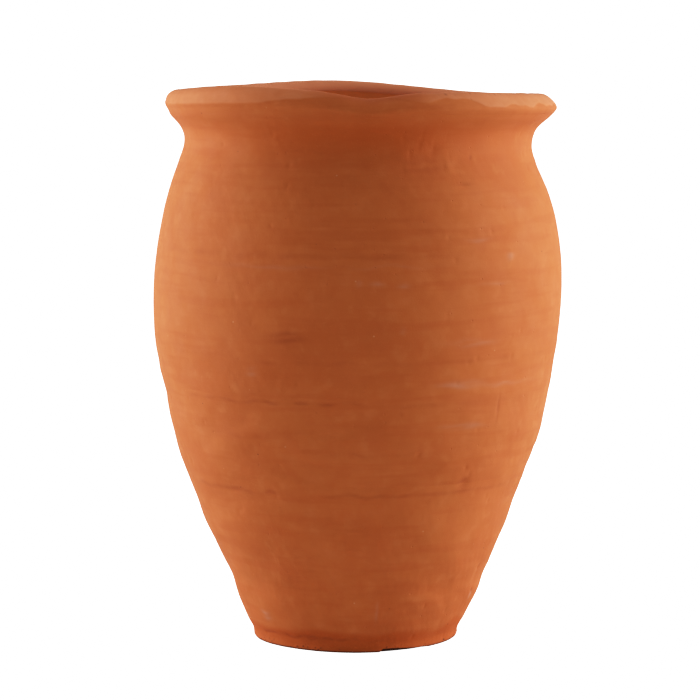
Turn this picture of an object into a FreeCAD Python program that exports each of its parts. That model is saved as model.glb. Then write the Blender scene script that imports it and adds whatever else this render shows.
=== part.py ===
"""A wide-mouthed terracotta jar, built up by hand from sections of clay.

The jar is one piece once it is fired, but it is made in six: a round floor slab, four thrown
rings of wall that stand on it and on each other, and a roll of clay laid round the mouth as a
rim. The five seams are level, and the pieces meet there face to face. The outer line of the wall
is a straight cone, a lower belly arc, a shoulder arc, a hollow neck arc and a straight flare, each
tangent to the next, and the inside follows it at a constant wall thickness.

Millimetres, +Z up, origin at the centre of the foot's underside.
"""

import FreeCAD, Part
import math
import os

import Sketcher
from FreeCAD import Vector

# The driving dimensions. Each one is a cell of the document's sheet under the same name.
DIMENSIONS = {
    "jar_height": 300.0,
    "wall_thickness": 8.0,
    # floor slab
    "foot_radius": 56.0,
    "foot_thickness": 14.0,
    "foot_edge_bevel": 1.2,
    # outer line of the wall, from the slab up to the mouth
    "wall_foot_radius": 61.8,
    "inside_corner": 6.0,
    "belly_radius": 111.6,
    "belly_height": 190.0,
    "lower_belly_curve": 265.0,
    "neck_radius": 94.6,
    "neck_height": 271.5,
    "neck_curve": 16.0,
    "flare_angle": 45.0,
    "wall_top": 292.5,
    # seams between the clay sections
    "lower_seam": 90.0,
    "middle_seam": 140.0,
    "shoulder_seam": 215.0,
    "rim_seam": 289.0,
    # rim roll
    "rim_radius": 106.3,
    "rim_width": 12.6,
    "rim_top_round": 5.8,
    "rim_under_round": 1.0,
}

# Wall sections, lowest first: the name of each, and the cells of the seams below and above it.
WALL_SECTIONS = [
    ("lower_wall", "foot_thickness", "lower_seam"),
    ("middle_wall", "lower_seam", "middle_seam"),
    ("belly_wall", "middle_seam", "shoulder_seam"),
    ("neck_wall", "shoulder_seam", "rim_seam"),
]

START, END, CENTRE = 1, 2, 3  # the points of a sketch element
ORIGIN = (-1, START)
EDGE_TOLERANCE = 0.01


def make_sheet(doc):
    """The sheet of driving dimensions, one aliased cell each."""
    sheet = doc.addObject("Spreadsheet::Sheet", "Dimensions")
    for row, (name, value) in enumerate(DIMENSIONS.items(), start=1):
        sheet.set(f"A{row}", name)
        sheet.set(f"B{row}", str(value))
        sheet.setAlias(f"B{row}", name)
    doc.recompute()
    return sheet


def cells(expression):
    """The expression with each dimension's name written as its cell in the sheet."""
    words = expression.split(" ")
    return " ".join(f"Dimensions.{w}" if w in DIMENSIONS else w for w in words)


def value_of(sheet, expression):
    """What a sum or difference of the dimensions' names and of numbers comes to."""
    total, sign = 0.0, 1.0
    for word in expression.split(" "):
        if word in "+-":
            sign = -1.0 if word == "-" else 1.0
        else:
            total += sign * (sheet.get(word) if word in DIMENSIONS else float(word))
    return total


def new_body(doc, label):
    """An empty PartDesign body with this label."""
    body = doc.addObject("PartDesign::Body", label)
    body.Label = label
    return body


def upright_sketch(body, name):
    """A sketch on the body's XZ plane: across it is the radius, and up it is the height."""
    sketch = body.newObject("Sketcher::SketchObject", name)
    plane = next(f for f in body.Origin.OriginFeatures if f.Role == "XZ_Plane")
    sketch.AttachmentSupport = [(plane, "")]
    sketch.MapMode = "FlatFace"
    return sketch


def dimension(sheet, sketch, kind, points, expression):
    """Adds a dimension to the sketch and binds it to the sheet."""
    value = value_of(sheet, expression)
    if kind == "Angle":
        value = math.radians(value)
    index = sketch.addConstraint(Sketcher.Constraint(kind, *points, value))
    unit = "1 deg" if kind == "Angle" else "1 mm"
    sketch.setExpression(f"Constraints[{index}]", f"( {cells(expression)} ) * {unit}")


def place(sheet, sketch, element, point, radius=None, height=None):
    """Dimensions a point of an element from the origin."""
    if radius:
        dimension(sheet, sketch, "DistanceX", (*ORIGIN, element, point), radius)
    if height:
        dimension(sheet, sketch, "DistanceY", (*ORIGIN, element, point), height)


def revolve(body, sketch):
    """Turns the sketch once round the jar's axis."""
    turned = body.newObject("PartDesign::Revolution", body.Label + "_turned")
    turned.Profile = sketch
    turned.ReferenceAxis = (sketch, ["V_Axis"])
    turned.Angle = 360
    sketch.Visibility = False
    body.Document.recompute()
    return turned


def rings_at(shape, height):
    """The names of the round edges of a turned shape that lie at this height."""
    found = []
    for number, edge in enumerate(shape.Edges, start=1):
        box = edge.BoundBox
        if max(abs(box.ZMin - height), abs(box.ZMax - height)) < EDGE_TOLERANCE:
            found.append(f"Edge{number}")
    return found


def polar(centre, radius, angle):
    """The point at this distance and angle, in radians, from a centre in the sketch."""
    return centre + Vector(math.cos(angle), math.sin(angle), 0) * radius


def arc(centre, radius, first, last):
    """An arc of a sketch, anticlockwise from the first angle to the last."""
    return Part.ArcOfCircle(Part.Circle(centre, Vector(0, 0, 1), radius), first, last)


def wall_outline(size):
    """Where the wall's outline lies: lines and arcs, out and up from the slab, and back inside."""
    wall, foot_z = size["wall_thickness"], size["foot_thickness"]
    belly = Vector(size["belly_radius"], size["belly_height"], 0)
    lower, neck = size["lower_belly_curve"], size["neck_curve"]

    # The shoulder arc touches the belly's widest ring and the neck arc.
    reach = size["neck_radius"] + neck - belly.x
    rise = size["neck_height"] - belly.y
    shoulder = (reach**2 + rise**2 - neck**2) / (2 * (neck - reach))

    lower_centre = belly - Vector(lower, 0, 0)
    shoulder_centre = belly - Vector(shoulder, 0, 0)
    neck_centre = Vector(size["neck_radius"] + neck, size["neck_height"], 0)
    across = neck_centre - shoulder_centre
    turn = math.atan2(across.y, across.x)
    flare = math.radians(size["flare_angle"])
    neck_end = math.pi / 2 + flare

    # The cone runs from the slab to where it touches the lower belly arc.
    foot = Vector(size["wall_foot_radius"], foot_z, 0)
    out = foot - lower_centre
    lean = math.atan2(out.y, out.x) + math.acos(lower / out.Length)
    along_cone = Vector(-math.sin(lean), math.cos(lean), 0)

    flare_foot = polar(neck_centre, neck, neck_end)
    along_flare = Vector(math.cos(flare), math.sin(flare), 0)
    flare_top = flare_foot + along_flare * ((size["wall_top"] - flare_foot.y) / along_flare.y)

    inner_cone_top = polar(lower_centre, lower - wall, lean)
    corner_top_z = foot_z + size["inside_corner"]
    corner_top = inner_cone_top + along_cone * ((corner_top_z - inner_cone_top.y) / along_cone.y)
    corner_foot = corner_top - Vector(size["inside_corner"], size["inside_corner"], 0)
    inner_flare_foot = polar(neck_centre, neck + wall, neck_end)
    inner_flare_top = polar(flare_top, wall, neck_end)

    return [
        Part.LineSegment(foot, polar(lower_centre, lower, lean)),
        arc(lower_centre, lower, lean, 0),
        arc(shoulder_centre, shoulder, 0, turn),
        arc(neck_centre, neck, neck_end, math.pi + turn),
        Part.LineSegment(flare_foot, flare_top),
        Part.LineSegment(flare_top, inner_flare_top),
        Part.LineSegment(inner_flare_top, inner_flare_foot),
        arc(neck_centre, neck + wall, neck_end, math.pi + turn),
        arc(shoulder_centre, shoulder - wall, 0, turn),
        arc(lower_centre, lower - wall, lean, 0),
        Part.LineSegment(inner_cone_top, corner_top),
        Part.LineSegment(corner_top, corner_foot),
        Part.LineSegment(corner_foot, foot),
    ]


def draw_wall(sheet, sketch):
    """The wall's closed outline, with every size bound to the sheet."""
    size = {name: sheet.get(name) for name in DIMENSIONS}
    elements = sketch.addGeometry(wall_outline(size), False)
    (cone, lower, shoulder, neck, flare, mouth, inner_flare) = elements[:7]
    (inner_neck, inner_shoulder, inner_lower, inner_cone, corner, seat) = elements[7:]

    smooth = [
        (cone, END, lower, START),
        (lower, END, shoulder, START),
        (shoulder, END, neck, END),
        (neck, START, flare, START),
        (inner_flare, END, inner_neck, START),
        (inner_neck, END, inner_shoulder, END),
        (inner_shoulder, START, inner_lower, END),
        (inner_lower, START, inner_cone, START),
    ]
    joined = [
        (flare, END, mouth, START),
        (mouth, END, inner_flare, START),
        (inner_cone, END, corner, START),
        (corner, END, seat, START),
        (seat, END, cone, START),
        (lower, CENTRE, inner_lower, CENTRE),
        (shoulder, CENTRE, inner_shoulder, CENTRE),
        (neck, CENTRE, inner_neck, CENTRE),
    ]
    rules = [Sketcher.Constraint("Tangent", *pair) for pair in smooth]
    rules += [Sketcher.Constraint("Coincident", *pair) for pair in joined]
    rules += [
        Sketcher.Constraint("Parallel", cone, inner_cone),
        Sketcher.Constraint("Parallel", flare, inner_flare),
        Sketcher.Constraint("Perpendicular", flare, mouth),
        Sketcher.Constraint("Horizontal", seat),
    ]
    sketch.addConstraint(rules)

    place(sheet, sketch, cone, START, "wall_foot_radius", "foot_thickness")
    place(sheet, sketch, lower, END, radius="belly_radius")
    place(sheet, sketch, lower, CENTRE, height="belly_height")
    place(sheet, sketch, shoulder, CENTRE, height="belly_height")
    place(sheet, sketch, neck, CENTRE, "neck_radius + neck_curve", "neck_height")
    place(sheet, sketch, flare, END, height="wall_top")
    place(sheet, sketch, corner, START, height="foot_thickness + inside_corner")
    dimension(sheet, sketch, "DistanceX", (corner, END, corner, START), "inside_corner")
    dimension(sheet, sketch, "Radius", (lower,), "lower_belly_curve")
    dimension(sheet, sketch, "Radius", (neck,), "neck_curve")
    dimension(sheet, sketch, "Radius", (inner_lower,), "lower_belly_curve - wall_thickness")
    dimension(sheet, sketch, "Angle", (flare,), "flare_angle")


def make_whole_wall(doc, sheet):
    """The wall from the slab to the mouth in one, which the sections are cut from."""
    body = new_body(doc, "whole_wall")
    sketch = upright_sketch(body, "wall_outline")
    draw_wall(sheet, sketch)
    revolve(body, sketch)
    return body


def make_wall_section(doc, whole_wall, label, low_seam, high_seam):
    """The ring of wall between two level seams."""
    slice_ = doc.addObject("Part::Cylinder", label + "_slice")
    slice_.setExpression("Radius", cells("belly_radius + wall_thickness"))
    slice_.setExpression("Height", cells(f"{high_seam} - {low_seam}"))
    slice_.setExpression("Placement.Base.z", cells(low_seam))
    section = doc.addObject("Part::Common", label)
    section.Label = label
    section.Base = whole_wall
    section.Tool = slice_
    return section


def draw_polygon(sheet, sketch, corners):
    """A closed outline through corners given as (radius, height) in the sheet's names."""
    points = [Vector(value_of(sheet, r), value_of(sheet, z), 0) for r, z in corners]
    sides = [Part.LineSegment(a, b) for a, b in zip(points, points[1:] + points[:1])]
    lines = sketch.addGeometry(sides, False)
    for line, after in zip(lines, lines[1:] + lines[:1]):
        sketch.addConstraint(Sketcher.Constraint("Coincident", line, END, after, START))
    for line, (radius, height) in zip(lines, corners):
        place(sheet, sketch, line, START, radius, height)


def make_foot_slab(doc, sheet):
    """The round floor: a disc whose edge leans out to meet the wall, broken at the bottom."""
    body = new_body(doc, "foot_slab")
    sketch = upright_sketch(body, "slab_outline")
    corners = [
        ("0", "0"),
        ("foot_radius", "0"),
        ("wall_foot_radius", "foot_thickness"),
        ("0", "foot_thickness"),
    ]
    draw_polygon(sheet, sketch, corners)
    turned = revolve(body, sketch)
    bevel = body.newObject("PartDesign::Chamfer", "foot_edge")
    bevel.Base = (turned, rings_at(turned.Shape, 0))
    bevel.setExpression("Size", cells("foot_edge_bevel"))
    body.Tip = bevel
    return body


def make_rim_roll(doc, sheet):
    """The roll of clay round the mouth: round on top, and a little proud of the flare below."""
    body = new_body(doc, "rim_roll")
    sketch = upright_sketch(body, "roll_outline")
    corners = [
        ("rim_radius - rim_width", "rim_seam"),
        ("rim_radius", "rim_seam"),
        ("rim_radius", "jar_height"),
        ("rim_radius - rim_width", "jar_height"),
    ]
    draw_polygon(sheet, sketch, corners)
    before = revolve(body, sketch)
    for name, ring, size in (
        ("roll_top", "jar_height", "rim_top_round"),
        ("roll_underside", "rim_seam", "rim_under_round"),
    ):
        rounded = body.newObject("PartDesign::Fillet", name)
        rounded.Base = (before, rings_at(before.Shape, sheet.get(ring)))
        rounded.setExpression("Radius", cells(size))
        doc.recompute()
        before = rounded
    body.Tip = before
    return body


def check(doc, pieces):
    """Stops unless every object computed and every piece is one valid closed solid."""
    failed = [o.Name for o in doc.Objects if {"Invalid", "Error"} & set(o.State)]
    if failed:
        raise RuntimeError(f"these objects failed to compute: {failed}")
    for piece in pieces:
        shape = piece.Shape
        if shape.isNull() or not shape.isValid() or len(shape.Solids) != 1:
            raise RuntimeError(f"{piece.Label} isn't one valid solid")


def main():
    doc = FreeCAD.newDocument("terracotta_jar")
    sheet = make_sheet(doc)
    whole_wall = make_whole_wall(doc, sheet)
    pieces = [make_foot_slab(doc, sheet)]
    pieces += [make_wall_section(doc, whole_wall, *section) for section in WALL_SECTIONS]
    pieces.append(make_rim_roll(doc, sheet))
    doc.recompute()
    check(doc, pieces)

    os.makedirs("parts", exist_ok=True)
    for piece in pieces:
        box = piece.Shape.optimalBoundingBox(False)
        piece.Shape.exportStep(f"parts/{piece.Label}.step")
        print(
            f"{piece.Label}: {piece.Shape.Volume / 1000:.1f} cm3, "
            f"z {box.ZMin:.1f} to {box.ZMax:.1f}, radius {box.XMax:.1f}"
        )


main()
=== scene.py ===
"""The looks of a handmade terracotta jar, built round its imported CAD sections.

Each clay section of the CAD model is replaced by a closed mesh of the same section with the marks
of the potter's hands in it: throwing rings, finger flats, smeared seams, a warped mouth and a lip
of clay folded over by hand. All sections take their shape from the same two surfaces, the outer
and the inner face of the wall, so neighbours meet exactly at their seams.

Lengths are in millimetres until a mesh is made, and in metres from there on. An angle is in
degrees round the jar: 0 at the front (-Y), 90 on the right (+X), 180 at the back.
"""

import math

import bpy
import numpy as np
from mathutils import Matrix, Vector


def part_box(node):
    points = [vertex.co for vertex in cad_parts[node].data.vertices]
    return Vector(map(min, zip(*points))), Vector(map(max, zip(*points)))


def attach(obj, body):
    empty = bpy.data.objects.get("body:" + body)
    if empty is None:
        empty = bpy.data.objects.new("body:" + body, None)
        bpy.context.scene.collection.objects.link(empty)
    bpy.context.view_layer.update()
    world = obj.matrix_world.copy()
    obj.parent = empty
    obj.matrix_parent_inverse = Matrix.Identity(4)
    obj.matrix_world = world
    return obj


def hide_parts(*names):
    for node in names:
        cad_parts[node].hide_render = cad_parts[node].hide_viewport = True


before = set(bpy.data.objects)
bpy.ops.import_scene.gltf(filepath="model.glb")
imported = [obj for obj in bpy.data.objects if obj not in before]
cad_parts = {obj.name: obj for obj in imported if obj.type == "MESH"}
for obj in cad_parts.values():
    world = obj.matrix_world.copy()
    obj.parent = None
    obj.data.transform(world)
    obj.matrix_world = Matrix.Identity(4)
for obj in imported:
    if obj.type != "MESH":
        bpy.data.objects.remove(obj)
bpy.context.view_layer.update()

MM = 0.001

# How finely the sections are meshed.
COLUMNS = 768
OUTER_STEP = 1.0
INNER_STEP = 2.6
RIM_STEP = 0.62
SHARP_ANGLE = 58

WALL_SECTIONS = ("lower_wall", "middle_wall", "belly_wall", "neck_wall")


def heights(node):
    """The lowest and highest level of a CAD node."""
    low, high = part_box(node)
    return low.z / MM, high.z / MM


FLOOR_TOP, LOWER_SEAM = heights("lower_wall")
MIDDLE_SEAM, SHOULDER_SEAM = heights("belly_wall")
RIM_SEAM, JAR_TOP = heights("rim_roll")
RIM_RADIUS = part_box("rim_roll")[1].x / MM


# ---------------------------------------------------------------- lines and functions of the form


def bell(value, centre, width):
    """1 at the centre, falling smoothly to nearly 0 at twice the width to either side."""
    return np.exp(-(((value - centre) / width) ** 2))


def angle_gap(angle, centre):
    """How far round the jar an angle is from another, from -180 to 180."""
    return (angle - centre + 180) % 360 - 180


def near(angle, centre, width):
    """A bell round the jar."""
    return bell(angle_gap(angle, centre), 0, width)


def ramp(value, start, end):
    """0 up to the start, 1 from the end on, and smooth in between."""
    t = np.clip((value - start) / (end - start), 0, 1)
    return t * t * (3 - 2 * t)


def between(angle, start, end, soft=5):
    """1 from one angle to another, with soft ends."""
    half = (end - start) / 2
    gap = np.abs(angle_gap(angle, (start + end) / 2))
    return 1 - ramp(gap, half - soft, half + soft)


def smooth_line(places, values):
    """The function that runs smoothly through these values at these places, in rising order."""
    places, values = np.array(places, float), np.array(values, float)
    slopes = np.gradient(values, places)

    def line(place):
        i = np.clip(np.searchsorted(places, place) - 1, 0, len(places) - 2)
        span = places[i + 1] - places[i]
        t = (place - places[i]) / span
        start = (1 + 2 * t) * (1 - t) ** 2 * values[i] + t * (1 - t) ** 2 * span * slopes[i]
        end = t * t * (3 - 2 * t) * values[i + 1] + t * t * (t - 1) * span * slopes[i + 1]
        return start + end

    return line


def wall_line(side):
    """Radius by height of the CAD wall's outer face (side 1) or inner face (side -1)."""
    rings = {}
    for name in WALL_SECTIONS:
        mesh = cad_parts[name].data
        for face in mesh.polygons:
            outward = Vector((face.center.x, face.center.y, 0)).normalized()
            if face.normal.dot(outward) * side < 0.3:
                continue
            for index in face.vertices:
                place = mesh.vertices[index].co / MM
                rings[round(place.z, 2)] = place.xy.length
    levels = []
    for level in sorted(rings):
        if not levels or level - levels[-1] > 2.2:
            levels.append(level)
    return smooth_line(levels, [rings[level] for level in levels])


outer_radius = wall_line(1)
inner_radius = wall_line(-1)


def waves(seed, turns, lengths, count=28):
    """A random field over the wall, about 1 high: waves that run round it and up it.

    turns is the fewest and most waves in a turn, and lengths the shortest and longest up the wall.
    """
    rng = np.random.default_rng(seed)
    around = rng.integers(turns[0], turns[1] + 1, count)
    up = 2 * math.pi / rng.uniform(*lengths, count) * rng.choice([-1, 1], count)
    phase = rng.uniform(0, 2 * math.pi, count)

    def field(angle, height):
        turn = np.radians(angle)
        total = sum(np.cos(a * turn + u * height + p) for a, u, p in zip(around, up, phase))
        return total * math.sqrt(2 / count)

    return field


# ---------------------------------------------------------------- marks on the outer face

# Waves in the outer line, where the hands pressed it in or let it out: height, width, and how
# far it stands out there.
THROWN_WAVES = [
    (5, 4, -1.15),
    (12, 10, -0.65),
    (35, 6, -0.75),
    (48, 16, -0.25),
    (62, 14, 1.05),
    (134, 13, -1.0),
    (153, 7, -0.45),
    (185, 55, -0.3),
    (237, 12, 0.25),
    (258, 6, -0.4),
    (285.2, 3.0, 0.25),
    (289.5, 2.5, -0.9),
]

# Tool lines (positive) and ridges beside them (negative): first and last angle, height before the
# slant, depth, half-width.
TOOL_LINES = [
    (-66, 26, 216.5, 0.16, 1.6),
    (-66, 26, 212.4, -0.1, 1.8),
    (-30, 70, 161.5, 0.12, 1.1),
    (-60, -30, 163.5, 0.08, 1.3),
    (-56, 2, 140.2, 0.3, 0.9),
    (8, 60, 139.0, 0.12, 1.2),
    (-64, -24, 90.6, 0.35, 1.1),
    (-9, 58, 90.2, 0.35, 1.0),
    (-60, 2, 7.4, 0.5, 0.7),
    (-58, -30, 121.0, 0.12, 1.0),
    (-10, 16, 113.0, 0.12, 1.0),
    (100, 170, 216.0, 0.3, 1.2),
    (190, 250, 139.5, 0.25, 1.1),
    (120, 215, 91.0, 0.3, 1.2),
    (150, 235, 186.0, 0.18, 1.2),
]

# Dents (positive) and lumps (negative): angle, height, width across, width up, depth.
DENTS = [
    (37, 95, 3.6, 3.2, 0.6),
    (66, 29.3, 1.4, 0.9, 0.6),
    (64, 42.8, 1.3, 1.3, 0.6),
    (20, 262, 9.0, 4.0, 0.25),
    (14, 268, 5.0, 3.0, -0.3),
    (24, 271, 4.0, 2.5, 0.35),
    (29, 263, 3.5, 4.5, -0.3),
    (33, 252.5, 3.0, 0.9, 0.4),
    (38, 266, 1.2, 1.2, 0.25),
    (-20, 174, 7.0, 3.0, 0.2),
    (-51, 17.7, 3.0, 2.0, -0.3),
    (46, 215, 2.0, 3.5, -0.2),
    (45, 135, 0.9, 7.0, 0.2),
    (-90, 50, 16.0, 6.0, -0.9),
    (-90, 66, 14.0, 10.0, -0.4),
    (90, 50, 14.0, 6.0, 0.4),
    (90, 101, 14.0, 8.0, -0.5),
    (90, 138, 16.0, 9.0, -0.8),
]

slow_lumps = waves(11, (1, 7), (60, 220))
hand_lumps = waves(12, (9, 34), (14, 60))
skin_lumps = waves(13, (40, 110), (6, 20))
throwing_rings = waves(14, (0, 2), (3.6, 11))
ring_strength = waves(15, (2, 9), (30, 120))
finger_flats = waves(16, (4, 13), (18, 44))
foot_crumbs = waves(17, (50, 170), (1.3, 3.5), 60)
line_wander = waves(18, (5, 40), (100, 200))
line_pressure = waves(19, (6, 50), (60, 200))

# How far the unevenness of each kind stands out.
SLOW_LUMP = 0.3
HAND_LUMP = 0.035
SKIN_LUMP = 0.012
THROWING_RING = 0.02
FINGER_FLAT = 0.25
FOOT_CRUMB = 0.3

# From this level up to the rim the wall gets smoother.
QUIET_START = 262

# Between these levels the finger flats fade in above the foot and out towards the belly.
FLATS_IN = (12, 28)
FLATS_OUT = (120, 165)

# Crumbs stick to the foot's edge about this high up, where the field of crumbs is high enough.
CRUMB_LEVEL = 1.6
CRUMB_THRESHOLD = 1.5

# How far the tool lines wander up and down.
LINE_WANDER = 0.35


def random_pits(seed, count, low, high):
    """Small pits left by grit and burnt-out straw, scattered over the wall."""
    rng = np.random.default_rng(seed)
    angles = rng.uniform(-180, 180, count)
    levels = rng.uniform(low, high, count)
    sizes = rng.uniform(0.7, 1.5, count)
    depths = rng.uniform(0.15, 0.4, count)
    return [(a, z, s, s, d) for a, z, s, d in zip(angles, levels, sizes, depths)]


DENTS += random_pits(21, 150, 3, RIM_SEAM - 3)


def random_scratches(seed, count, angles, levels):
    """Short upright scratches of uneven length and depth."""
    rng = np.random.default_rng(seed)
    at = rng.uniform(*angles, count)
    level = rng.uniform(*levels, count)
    length = rng.uniform(1.2, 4.5, count)
    depth = rng.uniform(0.02, 0.11, count)
    return [(a, z, 0.75, half, d) for a, z, half, d in zip(at, level, length, depth)]


DENTS += random_scratches(22, 26, (13, 30), (259, 279))


def dent_depth(angle, height):
    """How deep the dents and pits go."""
    depth = np.zeros_like(angle)
    for at, level, across, up, deep in DENTS:
        along = np.radians(angle_gap(angle, at)) * outer_radius(level)
        depth += deep * bell(along, 0, across) * bell(height, level, up)
    return depth


def line_depth(angle, level):
    """How deep the tool lines go, by the level that follows the slant of the rings."""
    depth = np.zeros_like(angle)
    wander = level + LINE_WANDER * line_wander(angle, 0)
    pressed = np.clip(0.35 + 0.2 * line_pressure(angle, level), 0.1, 1)
    for start, end, at, deep, half_width in TOOL_LINES:
        depth += deep * pressed * between(angle, start, end) * bell(wander, at, half_width)
    return depth


def crumbs_at(angle, height):
    """Where crumbs of clay stick to the foot's edge, up to about 1."""
    return np.clip(foot_crumbs(angle, height) - CRUMB_THRESHOLD, 0, 1.5)


def outer_marks(angle, level, height):
    """How far the outer face stands out from the even form."""
    stand = sum(deep * bell(height, at, width) for at, width, deep in THROWN_WAVES)
    quiet = 1 - 0.6 * ramp(height, QUIET_START, RIM_SEAM)
    stand = stand + SLOW_LUMP * slow_lumps(angle, height) * quiet
    stand += HAND_LUMP * hand_lumps(angle, height) * quiet
    stand += SKIN_LUMP * skin_lumps(angle, height)
    rings = throwing_rings(angle, level) * (0.6 + 0.4 * ring_strength(angle, height))
    stand += THROWING_RING * rings * quiet
    low_wall = ramp(height, *FLATS_IN) * (1 - ramp(height, *FLATS_OUT))
    stand += FINGER_FLAT * low_wall * np.clip(finger_flats(angle, height), -1, 1)
    stand += FOOT_CRUMB * crumbs_at(angle, height) * bell(height, CRUMB_LEVEL, 1.8)
    return stand - dent_depth(angle, height) - line_depth(angle, level)


# ---------------------------------------------------------------- where the rings slant


def slant(angle, level):
    """How far above its level a ring of the wall runs at an angle: the seams aren't level."""
    turn = np.radians(angle)
    levels = [0, FLOOR_TOP, LOWER_SEAM, MIDDLE_SEAM, SHOULDER_SEAM, RIM_SEAM - 12]
    offsets = [
        0,
        0.5 * np.cos(turn - 0.6) + 0.4 * np.cos(3 * turn),
        5.0 * between(angle, -13, 75, 9) - 1.8 * between(angle, -80, -22, 9),
        -3.0 * np.sin(turn) + 0.5 * np.cos(4 * turn),
        4.8 * np.cos(turn + math.radians(35)),
        0,
    ]
    total = np.zeros_like(angle)
    for low, high, below, above in zip(levels, levels[1:], offsets, offsets[1:]):
        inside = (level >= low) & (level < high)
        share = (level - low) / (high - low)
        total = np.where(inside, below + (above - below) * share, total)
    return total


# ---------------------------------------------------------------- the mouth

# The crest of the lip rises and falls round the mouth: angle, width, rise.
CREST_WAVES = [
    (-38, 24, 2.6),
    (35, 12, 0.6),
    (189, 26, 2.9),
    (134, 27, -2.45),
    (92, 28, -1.3),
    (-95, 30, -1.3),
]

# The dip in the front of the crest: first and last angle, how softly it ends, and depth.
DIP_START, DIP_END, DIP_SOFT, DIP_DEPTH = -5, 10, 9, 3.1

# The warp fades out below this level.
WARP_START = 272

# How much the top leans down to the right, as a slope.
TILT = 0.010

# How far to the right the wall's middle runs, by height: the sections aren't quite in line.
MIDDLE_LINE = [
    (0, 0),
    (35, 0.6),
    (60, -0.3),
    (90, -0.4),
    (120, 0.3),
    (150, 0.1),
    (195, 1.1),
    (245, 1.2),
    (263, 0.6),
    (273, 1.0),
    (285, 1.4),
    (290, 2.5),
    (294, 2.5),
    (297, 1.8),
    (300, 1.6),
]
middle_shift = smooth_line(*zip(*MIDDLE_LINE))


def warped(angle, radius, height):
    """The height of a point once the mouth is warped and the jar has settled to the right."""
    rise = sum(high * near(angle, at, width) for at, width, high in CREST_WAVES)
    rise = rise - DIP_DEPTH * between(angle, DIP_START, DIP_END, DIP_SOFT)
    sideways = radius * np.sin(np.radians(angle))
    return height + ramp(height, WARP_START, JAR_TOP) * rise - TILT * sideways * height / JAR_TOP


def placed(angle, radius, height):
    """Points of the standing jar: its mouth is warped and it leans a little to the right."""
    turn = np.radians(angle)
    x = radius * np.sin(turn) + middle_shift(height)
    y = -radius * np.cos(turn)
    return np.stack([x, y, warped(angle, radius, height)], axis=-1)


# ---------------------------------------------------------------- the two faces of the wall

FLOOR_COVE = 9.0

inner_rings = waves(31, (0, 2), (7, 16))
inner_lumps = waves(32, (2, 9), (30, 120))


def inner_marks(angle, level):
    """How far the fingers' rings and lumps move the inner face outwards."""
    return 0.35 * inner_rings(angle, level) + 0.3 * inner_lumps(angle, level)


def outer_face(angle, level):
    """Radius and height of the outer face."""
    height = level + slant(angle, level)
    return outer_radius(height) + outer_marks(angle, level, height), height


def inner_face(angle, level):
    """Radius and height of the inner face, with a round cove where it meets the floor."""
    height = level + slant(angle, level) * ramp(level, FLOOR_TOP, LOWER_SEAM)
    radius = inner_radius(np.maximum(height, FLOOR_TOP + FLOOR_COVE))
    slope = inner_radius(FLOOR_TOP + FLOOR_COVE + 1) - inner_radius(FLOOR_TOP + FLOOR_COVE)
    below = np.clip(FLOOR_TOP + FLOOR_COVE - height, 0, FLOOR_COVE)
    cove = FLOOR_COVE - np.sqrt(np.maximum(FLOOR_COVE**2 - below**2, 0))
    radius = radius - slope * below - cove
    marks = inner_marks(angle, level) * ramp(height, FLOOR_TOP, FLOOR_TOP + 12)
    return radius + marks, height


def levels_between(low, high, step):
    """Levels from low to high, both included, about a step apart."""
    return np.linspace(low, high, max(2, round((high - low) / step) + 1))


def grid(levels, columns):
    """Angles and levels of a mesh's points, a row for each level."""
    angles = np.arange(columns) * 360 / columns - 180
    return np.meshgrid(angles, np.asarray(levels, float))


def across(first, last, count):
    """Rows of points from one row to another, without those two."""
    shares = np.linspace(0, 1, count + 2)[1:-1]
    return np.stack([first + (last - first) * share for share in shares])


# ---------------------------------------------------------------- meshes


def make_piece(name, rows, poles=False):
    """A closed mesh through rows of points that run round the jar.

    The last row joins the first, or with poles each of the two is closed by a fan of faces.
    """
    row_count, columns = rows.shape[:2]
    points = rows.reshape(-1, 3)
    index = np.arange(row_count * columns).reshape(row_count, columns)
    low, high = (index[:-1], index[1:]) if poles else (index, np.roll(index, -1, 0))
    right_low, right_high = np.roll(low, -1, 1), np.roll(high, -1, 1)
    quads = np.stack([low, right_low, right_high, high], axis=-1).reshape(-1, 4)
    fans = np.empty((0, 3), int)
    if poles:
        centres = [rows[0].mean(0), rows[-1].mean(0)]
        points = np.vstack([points, centres])
        first, last = len(points) - 2, len(points) - 1
        start = np.stack([np.full(columns, first), np.roll(index[0], -1), index[0]], -1)
        end = np.stack([np.full(columns, last), index[-1], np.roll(index[-1], -1)], -1)
        fans = np.vstack([start, end])
    mesh = bpy.data.meshes.new(name)
    mesh.from_pydata((points * MM).tolist(), [], quads.tolist() + fans.tolist())
    mesh.shade_smooth()
    mesh.set_sharp_from_angle(angle=math.radians(SHARP_ANGLE))
    piece = bpy.data.objects.new(name, mesh)
    bpy.context.scene.collection.objects.link(piece)
    return piece


def make_wall(name, low, high):
    """A ring of wall between two seams: up the outer face, across, and down the inner face."""
    angles, levels = grid(levels_between(low, high, OUTER_STEP), COLUMNS)
    outside = placed(angles, *outer_face(angles, levels))
    inner_levels = levels_between(high, low, -INNER_STEP)
    if low == FLOOR_TOP:
        cove_turns = np.linspace(math.pi / 2, 0, 9)
        cove_levels = FLOOR_TOP + FLOOR_COVE * (1 - np.cos(cove_turns[1:]))
        above = inner_levels[inner_levels > FLOOR_TOP + FLOOR_COVE + 1]
        inner_levels = np.concatenate([above, [FLOOR_TOP + FLOOR_COVE], cove_levels])
    angles, levels = grid(inner_levels, COLUMNS)
    inside = placed(angles, *inner_face(angles, levels))
    top = across(outside[-1], inside[0], 3)
    bottom = across(inside[-1], outside[0], 3)
    return make_piece(name, np.vstack([outside, top, inside, bottom]))


# ---------------------------------------------------------------- rim

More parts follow.
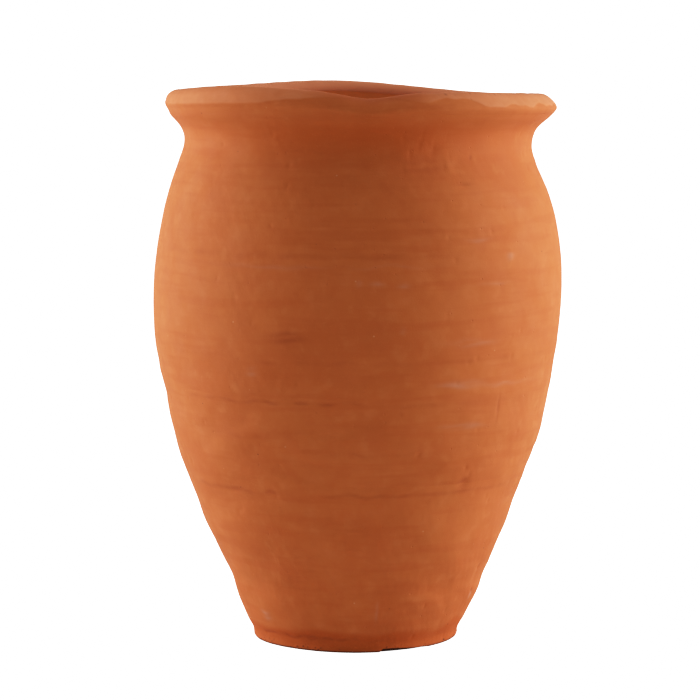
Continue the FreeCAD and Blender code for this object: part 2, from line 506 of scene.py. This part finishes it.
# The lower edge of the clay folded over the lip: angle and height above the rim seam.
LIP_EDGE = [
    (-171, 4.0),
    (-140, 3.2),
    (-118, 4.8),
    (-95, 3.4),
    (-71, 3.8),
    (-52, 4.6),
    (-43, 5.3),
    (-36, 5.4),
    (-30, 5.8),
    (-24, 7.4),
    (-12, 8.6),
    (8, 8.4),
    (16, 6.6),
    (19.5, 5.8),
    (22.5, 7.2),
    (25.5, 8.2),
    (29, 7.9),
    (33, 7.3),
    (37, 4.0),
    (41.5, 3.0),
    (49.5, 4.6),
    (53, 3.0),
    (58, 2.9),
    (63, 4.8),
    (67, 3.0),
    (96, 3.0),
    (119, 4.9),
    (123, 2.6),
    (150, 3.4),
]
# How far the folded clay stands proud of the lip, how sharply its edge steps down, and how far
# below the crest its edge runs inside the mouth.
LIP_PROUD = 0.25
FOLD_STEP = 0.35
INNER_FOLD = 6.1
CREST_LUMP = 0.04

edge_ragged = waves(41, (14, 70), (400, 900))
crest_lumps = waves(42, (9, 60), (8, 30))

# The rim's section, outside to inside: in from the CAD rim's widest ring (negative is beyond it),
# and up from the seam.
RIM_SECTION = [
    (-0.5, 1.9),
    (-0.45, 3.6),
    (0.35, 5.3),
    (1.2, 6.8),
    (2.3, 8.3),
    (3.7, 9.6),
    (5.4, 10.6),
    (7.3, 11.0),
    (9.2, 10.2),
    (10.7, 8.4),
    (11.8, 5.6),
    (12.3, 2.5),
]
CREST_INWARD = max(RIM_SECTION, key=lambda point: point[1])[0]
CREST_RADIUS = RIM_RADIUS - CREST_INWARD


def lip_edge(angle):
    """The height of the ragged lower edge of the clay folded over the lip."""
    edge_angles, edge_heights = np.array(LIP_EDGE).T
    edge = RIM_SEAM + np.interp(angle, edge_angles, edge_heights, period=360)
    rough = 0.08 + 0.17 * between(angle, 15, 175, 10)
    return edge + rough * edge_ragged(angle, 0)


def crest_height(angle):
    """The height of the warped crest of the lip."""
    return warped(angle, CREST_RADIUS, JAR_TOP)


def rim_section():
    """The rim's section as radius and height, closely spaced, from seam to seam over the top."""
    points = [(float(outer_radius(RIM_SEAM)), RIM_SEAM)]
    points += [(RIM_RADIUS - inward, RIM_SEAM + up) for inward, up in RIM_SECTION]
    points.append((float(inner_radius(RIM_SEAM)), RIM_SEAM))
    radii, levels = np.array(points).T
    run = np.concatenate([[0], np.cumsum(np.hypot(np.diff(radii), np.diff(levels)))])
    places = levels_between(0, run[-1], RIM_STEP)
    return smooth_line(run, radii)(places), smooth_line(run, levels)(places)


def make_rim(name):
    """The rim: a roll of clay, pressed over the lip by hand so that its lower edge is ragged."""
    radii, levels = rim_section()
    angles, height = grid(levels, 2 * COLUMNS)
    radius = np.repeat(radii[:, None], 2 * COLUMNS, 1)
    outward = ramp(radius, CREST_RADIUS, RIM_RADIUS - 1.5)
    inward = 1 - ramp(radius, RIM_RADIUS - 12, CREST_RADIUS)
    outward[0], inward[-1] = 1, 1
    is_outside = radius > CREST_RADIUS
    edge = np.where(is_outside, lip_edge(angles), crest_height(angles) - INNER_FOLD)
    folded = ramp(warped(angles, radius, height) - edge, -FOLD_STEP, FOLD_STEP)
    below_fold = LIP_PROUD * (1 - folded) * ramp(height, RIM_SEAM, RIM_SEAM + 1.5)
    lumps = CREST_LUMP * crest_lumps(angles, height) * ramp(height, RIM_SEAM + 1, RIM_SEAM + 5)
    radius = radius + outward * (outer_marks(angles, height, height) + lumps)
    radius += inward * (inner_marks(angles, height) - lumps)
    radius += np.where(is_outside, -1, 1) * below_fold
    height = height + lumps * (1 - outward) * (1 - inward)
    rows = placed(angles, radius, height)
    return make_piece(name, np.vstack([rows, across(rows[-1], rows[0], 4)]))


# ---------------------------------------------------------------- foot

FOOT_EDGE_ROUND = 0.35

# Rows of points: over the floor and under it, and down the foot's edge in coarse and fine steps.
FLOOR_ROWS, UNDERSIDE_ROWS = 28, 34
CENTRE_SHARE = 0.02
COARSE_STEP, FINE_STEP, FINE_LEVEL = 0.8, 0.3, 2.4

# The button of clay left in the middle of the floor, and the rings round it.
BUTTON_HEIGHT, BUTTON_WIDTH = 1.6, 9
SWIRL_HEIGHT = 0.5

# The underside is hollow inside its resting ring, and marked by the wire that cut it loose. The
# hollow is full depth up to the first radius and has run out at the second.
HOLLOW_DEPTH, HOLLOW_FULL, HOLLOW_END = 0.5, 30, 50
CUT_DEPTH = 0.12
RESTING_RING_START, RESTING_RING_END = 46, 51

# A flake is gone from the foot's edge: it is full height at one angle and runs out to both sides.
GAP_START, GAP_FULL, GAP_END = 13, 15, 50
GAP_HEIGHT = 1.7
GAP_DEPTH = 1.6

floor_swirl = waves(51, (1, 3), (9, 22))
cut_marks = waves(52, (1, 5), (6, 14))


def foot_gap(angle):
    """How high the missing flake reaches up the foot's edge."""
    return GAP_HEIGHT * ramp(angle, GAP_START, GAP_FULL) * (1 - ramp(angle, GAP_FULL, GAP_END))


def in_gap(angle, height):
    """1 where the flake is missing, and 0 elsewhere."""
    gap = foot_gap(angle)
    return ramp(gap - height, -0.15, 0.15) * (gap > 0.1)


def make_foot(name):
    """The floor slab: out over the top, down the edge, and back in underneath."""
    angles = grid([0], COLUMNS)[0]
    inner_edge = inner_face(angles, np.full_like(angles, FLOOR_TOP))[0]
    outer_edge, outer_height = outer_face(angles, np.full_like(angles, FLOOR_TOP))

    rows = []
    for share in np.linspace(CENTRE_SHARE, 1, FLOOR_ROWS):
        radius = inner_edge * share
        swirl = SWIRL_HEIGHT * floor_swirl(angles, radius + angles / 30) * (1 - ramp(share, 0.75, 1))
        button = BUTTON_HEIGHT * bell(radius, 0, BUTTON_WIDTH)
        rows.append(placed(angles, radius, FLOOR_TOP + swirl + button))
    seam = placed(angles, outer_edge, outer_height)
    rows += list(across(rows[-1], seam, 4))
    rows.append(seam)

    coarse = levels_between(FLOOR_TOP, FINE_LEVEL, -COARSE_STEP)[1:]
    fine = levels_between(FINE_LEVEL, 0, -FINE_STEP)[1:]
    for level in [*coarse, *fine]:
        radius, height = outer_face(angles, np.full_like(angles, level))
        height = np.maximum(height, 0)
        radius = radius - FOOT_EDGE_ROUND * (1 - ramp(height, 0, 2 * FOOT_EDGE_ROUND)) ** 2
        radius = radius - GAP_DEPTH * in_gap(angles, height)
        rows.append(placed(angles, radius, height))
    foot_edge = radius
    for share in np.linspace(0.985, CENTRE_SHARE, UNDERSIDE_ROWS):
        radius = foot_edge * share
        hollow = HOLLOW_DEPTH * (1 - ramp(radius, HOLLOW_FULL, HOLLOW_END))
        hollow += CUT_DEPTH * np.clip(1 + cut_marks(angles, radius), 0, 2)
        hollow *= 1 - ramp(radius, RESTING_RING_START, RESTING_RING_END)
        rows.append(placed(angles, radius, hollow))
    return make_piece(name, np.stack([row.reshape(-1, 3) for row in rows])[::-1], poles=True)


# ---------------------------------------------------------------- clay


# Pale streaks and darker spots on the outer face: angle, height, width across, width up, strength.
LIME_STREAKS = [
    (33, 171, 11, 1.6, 0.6),
    (30, 149.5, 11, 1.8, 0.7),
    (46, 147.6, 20, 1.2, 0.4),
    (33, 126.5, 11, 1.5, 0.65),
    (46, 215, 2.6, 3.2, 0.5),
    (35, 224, 7, 1.0, 0.4),
    (39, 201, 9, 0.8, 0.35),
    (12, 201.7, 3.0, 1.6, 0.4),
    (5, 202.4, 3.5, 1.1, 0.4),
    (0, 203, 1.6, 1.6, 0.45),
    (12, 179, 1.6, 1.6, 0.4),
    (-51, 17.7, 3.2, 2.4, 1.0),
    (66, 26.3, 1.3, 1.7, 1.2),
    (-25, 211, 26, 1.1, 0.3),
    (10, 211.5, 18, 0.9, 0.25),
    (9, 24, 0.9, 5, 0.45),
    (-30, 156, 3, 3, 0.35),
    (150, 205, 14, 1.5, 0.7),
    (163, 188, 20, 1.2, 0.5),
    (205, 120, 12, 2.0, 0.7),
    (250, 232, 10, 1.6, 0.6),
    (118, 62, 8, 2.5, 0.5),
]
# Darker spots, most of them over the dents and pits.
DARK_SPOTS = [
    (-19, 174.6, 8, 3.2, 1.0),
    (37, 95, 3.2, 3.0, 0.8),
    (33, 252.5, 5, 0.7, 0.7),
    (20, 262, 12, 6, 0.35),
    (38, 266, 1.0, 1.0, 1.0),
    (64, 42.8, 1.2, 1.2, 0.9),
    (66, 29.3, 1.5, 0.9, 1.0),
    (45, 135, 0.8, 7, 0.5),
    (-20, 8.2, 13, 0.9, 0.6),
    (-62, 4, 3, 1.5, 0.8),
    (135, 160, 9, 4, 0.6),
    (220, 96, 8, 3, 0.6),
]
# The clay is redder up to this level at the foot, and shade is painted round this level under the
# lip in front.
FOOT_BAND = 12
NECK_SHADE_LEVEL = 277

# How far the stains' outlines wander up and down.
STAIN_WANDER = 0.35

stain_wander = waves(61, (6, 40), (12, 60))
stain_breaks = waves(62, (8, 30), (3, 9), 40)
foot_band_edge = waves(63, (2, 18), (200, 400))
rim_crumbs = waves(64, (40, 160), (5, 9), 40)


def spots(angle, height, marks):
    """Soft-edged stains with uneven outlines."""
    height = height + STAIN_WANDER * stain_wander(angle, height)
    total = np.zeros_like(angle)
    for at, level, across, up, strength in marks:
        along = np.radians(angle_gap(angle, at)) * outer_radius(level)
        total += strength * bell(along, 0, across) * bell(height, level, up)
    broken = np.clip(0.8 + 0.35 * stain_breaks(angle, height), 0, 1.2)
    return np.clip(total * broken, 0, 1)


def red_foot_and_neck_shade(angle, height):
    """Where the clay is redder round the foot, and where shade is painted under the lip in front."""
    foot_top = height + 1.2 * foot_band_edge(angle, 0)
    foot_band = 1 - ramp(foot_top, FOOT_BAND - 3, FOOT_BAND + 1)
    # Painted shade under the lip in front.
    neck_shade = bell(height, NECK_SHADE_LEVEL, 10) * near(angle, 0, 50)
    return np.maximum(foot_band, neck_shade)


def foot_dirt_and_shadow(angle, radius, height):
    """Where earth sticks to the foot in crumbs, and where shadow is painted in the missing flake and
    along the bottom edge.
    """
    crumbs = bell(height, CRUMB_LEVEL - 0.2, 1.6) * crumbs_at(angle, height)
    # Painted contact shadow along the foot's bottom edge.
    contact_shadow = 0.85 * (1 - ramp(height, 0.4, 1.3))
    # Crumbs of earth, painted shadow in the missing flake, and the painted contact shadow.
    dirt_and_painted_shadow = np.maximum.reduce([crumbs, in_gap(angle, height), contact_shadow])
    foot_radius = outer_radius(0)
    return dirt_and_painted_shadow * ramp(radius, foot_radius - 6, foot_radius - 2)


def crest_dirt(angle, radius, height):
    """Where dark crumbs lie on the crest of the lip, on the right."""
    on_top = ramp(radius, CREST_RADIUS - 2, CREST_RADIUS) * ramp(height, 298, 299.5)
    return np.clip(rim_crumbs(angle, height) - 0.9, 0, 1) * between(angle, 26, 62, 6) * on_top


def painted_crest_shade(angle, height):
    """Painted shade along the crest of the lip in front."""
    return 0.9 * near(angle, 3, 22) * bell(height - crest_height(angle), 0, 2.2)


def outer_fold(angle, radius, height):
    """The folded clay outside: dusty on the right, less so on the left, hardly in front."""
    dusty = 0.75 + 0.25 * np.sin(np.radians(angle))
    dusty *= 1 - 0.9 * between(angle, -12, 19, 6)
    return dusty * ramp(height - lip_edge(angle), -0.4, 0.6) * (radius >= CREST_RADIUS)


def inner_fold(angle, radius, height):
    """The folded clay inside the mouth."""
    edge = crest_height(angle) - INNER_FOLD
    return ramp(height - edge, -0.4, 0.6) * (radius < CREST_RADIUS)


def stain(piece):
    """Writes where the clay is stained, folded or inside, and where shade is painted, for the
    material to read.
    """
    points = np.zeros(len(piece.data.vertices) * 3)
    piece.data.vertices.foreach_get("co", points)
    x, y, height = points.reshape(-1, 3).T / MM
    x = x - middle_shift(height)
    angle = np.degrees(np.arctan2(x, -y))
    radius = np.hypot(x, y)
    level = np.clip(height, 0, RIM_SEAM)
    middle = (outer_radius(level) + inner_radius(np.maximum(level, FLOOR_TOP + 8))) / 2
    outside = (radius > middle) | (height < FLOOR_TOP - 1)
    marks = {
        "lime": outside * spots(angle, height, LIME_STREAKS),
        # Dark spots, and painted shade along the crest of the lip in front.
        "dark_spots_and_crest_shade": np.maximum(outside * spots(angle, height, DARK_SPOTS), painted_crest_shade(angle, height)),
        # Redder clay round the foot, and painted shade under the lip in front.
        "red_foot_and_neck_shade": outside * red_foot_and_neck_shade(angle, height),
        # Crumbs of earth on the foot and the crest, and painted shadow in the missing flake and
        # along the foot's bottom edge.
        "dirt_and_painted_shadow": outside * foot_dirt_and_shadow(angle, radius, height) + crest_dirt(angle, radius, height),
        # Painted shade in the grooves of the tool lines, darker where they are deeper.
        "lines": outside * np.clip(6 * line_depth(angle, height), 0, 1),
        "fold": outer_fold(angle, radius, height),
        "inner_fold": inner_fold(angle, radius, height),
        "inside": 1.0 - outside,
    }
    for name, values in marks.items():
        layer = piece.data.attributes.new(name, "FLOAT", "POINT")
        layer.data.foreach_set("value", values.astype(np.float32))


# The colour sockets of a Mix node, whose other sockets of the same names carry other kinds of data.
MIX_UNDER, MIX_OVER, MIX_COLOUR = 6, 7, 2


class Paint:
    """Builds a material's nodes: patterns in, colours laid one over another."""

    def __init__(self, material):
        self.nodes = material.node_tree.nodes
        self.links = material.node_tree.links
        self.place = self.nodes.new("ShaderNodeTexCoord").outputs["Object"]

    def stretched(self, stretch):
        """The place in the jar, squeezed so that patterns come out stretched this much."""
        mapping = self.nodes.new("ShaderNodeMapping")
        mapping.inputs["Scale"].default_value = [1 / s for s in stretch]
        self.links.new(self.place, mapping.inputs["Vector"])
        return mapping.outputs["Vector"]

    def noise(self, size, detail=3, stretch=(1, 1, 1)):
        """Cloudy noise with patches about this many millimetres across."""
        noise = self.nodes.new("ShaderNodeTexNoise")
        noise.inputs["Scale"].default_value = 1 / (size * MM)
        noise.inputs["Detail"].default_value = detail
        self.links.new(self.stretched(stretch), noise.inputs["Vector"])
        return noise.outputs["Fac"]

    def specks(self, spacing, size, share):
        """Round specks of random sizes up to this, in this share of cells of this spacing."""
        cells = self.nodes.new("ShaderNodeTexVoronoi")
        cells.inputs["Scale"].default_value = 1 / (spacing * MM)
        self.links.new(self.place, cells.inputs["Vector"])
        split = self.nodes.new("ShaderNodeSeparateColor")
        self.links.new(cells.outputs["Color"], split.inputs["Color"])
        near_centre = self.fade(cells.outputs["Distance"], size / spacing, 0.4 * size / spacing)
        chosen = self.fade(split.outputs["Red"], 1 - share, 1 - 0.5 * share)
        return self.times(near_centre, chosen)

    def mask(self, name):
        """A mask that stain() wrote."""
        node = self.nodes.new("ShaderNodeAttribute")
        node.attribute_name = name
        return node.outputs["Fac"]

    def fade(self, value, start, end):
        """0 at the start and 1 at the end, smooth in between."""
        node = self.nodes.new("ShaderNodeMapRange")
        node.interpolation_type = "SMOOTHSTEP"
        node.inputs["From Min"].default_value = start
        node.inputs["From Max"].default_value = end
        self.links.new(value, node.inputs["Value"])
        return node.outputs["Result"]

    def scaled(self, value, low, high):
        """The value with 0 and 1 moved to low and high."""
        node = self.nodes.new("ShaderNodeMapRange")
        node.inputs["To Min"].default_value = low
        node.inputs["To Max"].default_value = high
        self.links.new(value, node.inputs["Value"])
        return node.outputs["Result"]

    def times(self, first, second):
        """The product of two values."""
        node = self.nodes.new("ShaderNodeMath")
        node.operation = "MULTIPLY"
        self.links.new(first, node.inputs[0])
        self.links.new(second, node.inputs[1])
        return node.outputs[0]

    def over(self, under, colour, share):
        """One colour laid over another, by a share from 0 to 1."""
        node = self.nodes.new("ShaderNodeMix")
        node.data_type = "RGBA"
        self.links.new(share, node.inputs["Factor"])
        self.put(under, node.inputs[MIX_UNDER])
        self.put(colour, node.inputs[MIX_OVER])
        return node.outputs[MIX_COLOUR]

    def put(self, value, socket):
        """Sets a colour on a socket, or links one to it."""
        if isinstance(value, tuple):
            socket.default_value = (*value, 1)
        else:
            self.links.new(value, socket)

    def bump(self, height, distance, under=None):
        """Relief of this depth in millimetres, on top of other relief."""
        node = self.nodes.new("ShaderNodeBump")
        node.inputs["Distance"].default_value = distance * MM
        self.links.new(height, node.inputs["Height"])
        if under:
            self.links.new(under, node.inputs["Normal"])
        return node.outputs["Normal"]


CLAY = (0.52, 0.157, 0.045)
RED_CLAY = (0.485, 0.134, 0.036)
PALE_CLAY = (0.56, 0.185, 0.062)
FOLD_CLAY = (0.63, 0.245, 0.118)
# Pinker folded clay inside the mouth, painted pale to stand in for light on the inner lip.
INNER_FOLD_PAINTED_LIGHT_CLAY = (0.62, 0.24, 0.125)
# Redder clay round the foot, also used as painted shade under the lip in front.
DEEP_RED_AND_SHADE_CLAY = (0.46, 0.1, 0.016)
# The inside of the jar, painted paler than the clay outside to stand in for light in the mouth.
PAINTED_LIGHT_INNER_CLAY = (0.66, 0.235, 0.08)
# Darker clay for the dark spots, and painted shade in the tool lines and along the front crest.
DARK_SPOT_AND_SHADE_CLAY = (0.33, 0.075, 0.02)
LIME = (0.52, 0.28, 0.2)
# Dark grit and crumbs of earth, also used as painted shadow in the missing flake and along the
# foot's bottom edge.
DARK_GRIT_AND_SHADOW = (0.09, 0.035, 0.018)
PALE_GRIT = (0.62, 0.3, 0.15)


def make_clay():
    """Low-fired red clay, dry and dusty, with grit, lime bloom, dark spots, painted shade and
    painted light.
    """
    material = bpy.data.materials.new("terracotta_clay")
    material.use_nodes = True
    surface = material.node_tree.nodes["Principled BSDF"]
    paint = Paint(material)
    round_the_jar = (9, 9, 1)

    cloudy = paint.noise(42, detail=2)
    blotchy = paint.noise(9, detail=3)
    streaky = paint.noise(5, detail=2, stretch=round_the_jar)
    grainy = paint.noise(0.9, detail=2)
    dusty = paint.times(paint.mask("fold"), paint.scaled(paint.noise(6, detail=2), 0.4, 1.15))
    colour = paint.over(CLAY, RED_CLAY, paint.scaled(paint.fade(cloudy, 0.42, 0.7), 0, 0.7))
    colour = paint.over(colour, PALE_CLAY, paint.scaled(paint.fade(blotchy, 0.5, 0.75), 0, 0.5))
    colour = paint.over(colour, RED_CLAY, paint.scaled(paint.fade(blotchy, 0.5, 0.25), 0, 0.5))
    colour = paint.over(colour, RED_CLAY, paint.scaled(paint.fade(streaky, 0.45, 0.7), 0, 0.65))
    # Redder clay round the foot, and painted shade under the lip in front.
    colour = paint.over(colour, DEEP_RED_AND_SHADE_CLAY, paint.scaled(paint.mask("red_foot_and_neck_shade"), 0, 0.65))
    # Painted light: the inside is paler than the clay outside.
    colour = paint.over(colour, PAINTED_LIGHT_INNER_CLAY, paint.mask("inside"))
    colour = paint.over(colour, FOLD_CLAY, dusty)
    # Pinker folded clay inside the mouth, painted pale as well to stand in for light on the inner
    # lip.
    colour = paint.over(colour, INNER_FOLD_PAINTED_LIGHT_CLAY, paint.mask("inner_fold"))
    # Painted shade in the grooves of the tool lines.
    colour = paint.over(colour, DARK_SPOT_AND_SHADE_CLAY, paint.scaled(paint.mask("lines"), 0, 0.38))
    # Dark spots, and painted shade along the crest of the lip in front.
    colour = paint.over(colour, DARK_SPOT_AND_SHADE_CLAY, paint.scaled(paint.mask("dark_spots_and_crest_shade"), 0, 0.6))
    colour = paint.over(colour, LIME, paint.scaled(paint.mask("lime"), 0, 0.55))
    colour = paint.over(colour, PALE_CLAY, paint.scaled(paint.fade(grainy, 0.55, 0.8), 0, 0.3))
    colour = paint.over(colour, PALE_GRIT, paint.scaled(paint.specks(9, 0.6, 0.2), 0, 0.6))
    colour = paint.over(colour, DARK_GRIT_AND_SHADOW, paint.scaled(paint.specks(10, 0.55, 0.3), 0, 0.6))
    # Crumbs of earth, and painted shadow in the missing flake and along the foot's bottom edge.
    colour = paint.over(colour, DARK_GRIT_AND_SHADOW, paint.mask("dirt_and_painted_shadow"))
    paint.put(colour, surface.inputs["Base Color"])

    rough = paint.scaled(paint.noise(14, detail=4), 0.72, 0.9)
    paint.links.new(rough, surface.inputs["Roughness"])
    surface.inputs["Specular IOR Level"].default_value = 0.38

    sandy = paint.bump(paint.noise(0.7, detail=3), 0.05)
    brushed = paint.bump(paint.noise(2.2, detail=3, stretch=(14, 14, 1)), 0.02, sandy)
    pitted = paint.bump(paint.specks(5, 0.6, 0.4), -0.15, brushed)
    paint.links.new(pitted, surface.inputs["Normal"])
    return material


# ---------------------------------------------------------------- room, lights and camera


# How bright the room is as light and to look at, how much light the floor throws back, and how
# bright the floor looks.
ROOM_FILL = 0.395
ROOM_GLOW = 2.0
FLOOR_BOUNCE = 0.745
FLOOR_GLOW = 0.95
FLOOR_SIZE = 12.0

# The two side panels: name, angle and watts.
SIDE_PANELS = [("left_panel", -105, 17), ("right_panel", 99.5, 18)]
SIDE_PANEL_DISTANCE = 1.4
SIDE_PANEL_HEIGHT = 0.36
SIDE_PANEL_SIZE = (0.6, 1.0)
TOP_PANEL_PLACE = (0, 0.3, 1.6)
TOP_PANEL_SIZE = (1.4, 1.4)
TOP_PANEL_WATTS = 1.8


def make_floor():
    """A plain pale floor."""
    mesh = bpy.data.meshes.new("floor")
    half = FLOOR_SIZE / 2
    mesh.from_pydata(
        [(-half, -half, 0), (half, -half, 0), (half, half, 0), (-half, half, 0)],
        [],
        [(0, 1, 2, 3)],
    )
    floor = bpy.data.objects.new("floor", mesh)
    bpy.context.scene.collection.objects.link(floor)
    material = bpy.data.materials.new("pale_floor")
    material.use_nodes = True
    nodes, links = material.node_tree.nodes, material.node_tree.links
    seen = nodes["Principled BSDF"]
    seen.inputs["Base Color"].default_value = (0.9, 0.9, 0.9, 1)
    seen.inputs["Roughness"].default_value = 1.0
    seen.inputs["Specular IOR Level"].default_value = 0.0
    seen.inputs["Emission Color"].default_value = (1, 1, 1, 1)
    seen.inputs["Emission Strength"].default_value = FLOOR_GLOW
    bounce = nodes.new("ShaderNodeBsdfDiffuse")
    bounce.inputs["Color"].default_value = (FLOOR_BOUNCE, FLOOR_BOUNCE, FLOOR_BOUNCE, 1)
    by_camera_ray(nodes, links, bounce, seen, nodes["Material Output"])
    mesh.materials.append(material)


def by_camera_ray(nodes, links, plain, seen, output):
    """Shows one shader to the camera and lights the jar with the other."""
    mix = nodes.new("ShaderNodeMixShader")
    path = nodes.new("ShaderNodeLightPath")
    links.new(path.outputs["Is Camera Ray"], mix.inputs["Fac"])
    links.new(plain.outputs[0], mix.inputs[1])
    links.new(seen.outputs[0], mix.inputs[2])
    links.new(mix.outputs[0], output.inputs["Surface"])


def make_light(name, place, size, watts):
    """A soft rectangular light that faces the middle of the jar."""
    data = bpy.data.lights.new(name, "AREA")
    data.shape = "RECTANGLE"
    data.size, data.size_y = size
    data.energy = watts
    light = bpy.data.objects.new(name, data)
    light.location = place
    light.rotation_mode = "QUATERNION"
    jar_middle = Vector((0, 0, JAR_TOP / 2 * MM))
    light.rotation_quaternion = (jar_middle - Vector(place)).to_track_quat("-Z", "Y")
    light.visible_camera = False
    bpy.context.scene.collection.objects.link(light)


def make_lights():
    """A panel on each side, a little behind the jar, and one overhead."""
    for name, angle, watts in SIDE_PANELS:
        turn = math.radians(angle)
        x, y = SIDE_PANEL_DISTANCE * math.sin(turn), -SIDE_PANEL_DISTANCE * math.cos(turn)
        make_light(name, (x, y, SIDE_PANEL_HEIGHT), SIDE_PANEL_SIZE, watts)
    make_light("top_panel", TOP_PANEL_PLACE, TOP_PANEL_SIZE, TOP_PANEL_WATTS)


def make_room():
    """White surroundings, dim as light and bright to look at."""
    world = bpy.data.worlds.new("white_room")
    bpy.context.scene.world = world
    world.use_nodes = True
    nodes, links = world.node_tree.nodes, world.node_tree.links
    fill = nodes["Background"]
    fill.inputs["Color"].default_value = (1, 1, 1, 1)
    fill.inputs["Strength"].default_value = ROOM_FILL
    seen = nodes.new("ShaderNodeBackground")
    seen.inputs["Strength"].default_value = ROOM_GLOW
    by_camera_ray(nodes, links, fill, seen, nodes["World Output"])


CAMERA_DISTANCE = 1.654
CAMERA_PITCH = 6.16
CAMERA_SIDE = -0.0033
CAMERA_AIM_HEIGHT = 0.15725
CAMERA_LENS = 155.0


def make_camera():
    """A long lens a little above the middle of the jar."""
    data = bpy.data.cameras.new("camera")
    data.sensor_width = 36
    data.lens = CAMERA_LENS
    camera = bpy.data.objects.new("camera", data)
    pitch = math.radians(CAMERA_PITCH)
    back = Vector((0, -math.cos(pitch), math.sin(pitch)))
    camera.location = Vector((CAMERA_SIDE, 0, CAMERA_AIM_HEIGHT)) + back * CAMERA_DISTANCE
    camera.rotation_mode = "QUATERNION"
    camera.rotation_quaternion = (-back).to_track_quat("-Z", "Y")
    bpy.context.scene.collection.objects.link(camera)
    bpy.context.scene.camera = camera


# The camera's response, as light in and brightness out.
TONE_CURVE = [(0.03, 0.0205), (0.12, 0.126), (0.3, 0.4), (0.6, 0.748)]


def set_tone():
    """A soft S-curve over the standard view, as a camera gives."""
    settings = bpy.context.scene.view_settings
    settings.view_transform = "Standard"
    settings.use_curve_mapping = True
    curve = settings.curve_mapping.curves[3]
    for light_in, out in TONE_CURVE:
        curve.points.new(light_in, out)
    settings.curve_mapping.extend = "HORIZONTAL"
    settings.curve_mapping.update()


# ---------------------------------------------------------------- the jar and its surroundings

pieces = {"foot_slab": make_foot("clay_foot_slab"), "rim_roll": make_rim("clay_rim_roll")}
for section in WALL_SECTIONS:
    pieces[section] = make_wall("clay_" + section, *heights(section))
clay = make_clay()
for node, piece in pieces.items():
    piece.data.materials.append(clay)
    stain(piece)
    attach(piece, "root")
    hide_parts(node)

make_floor()
make_room()
make_lights()
make_camera()
set_tone()
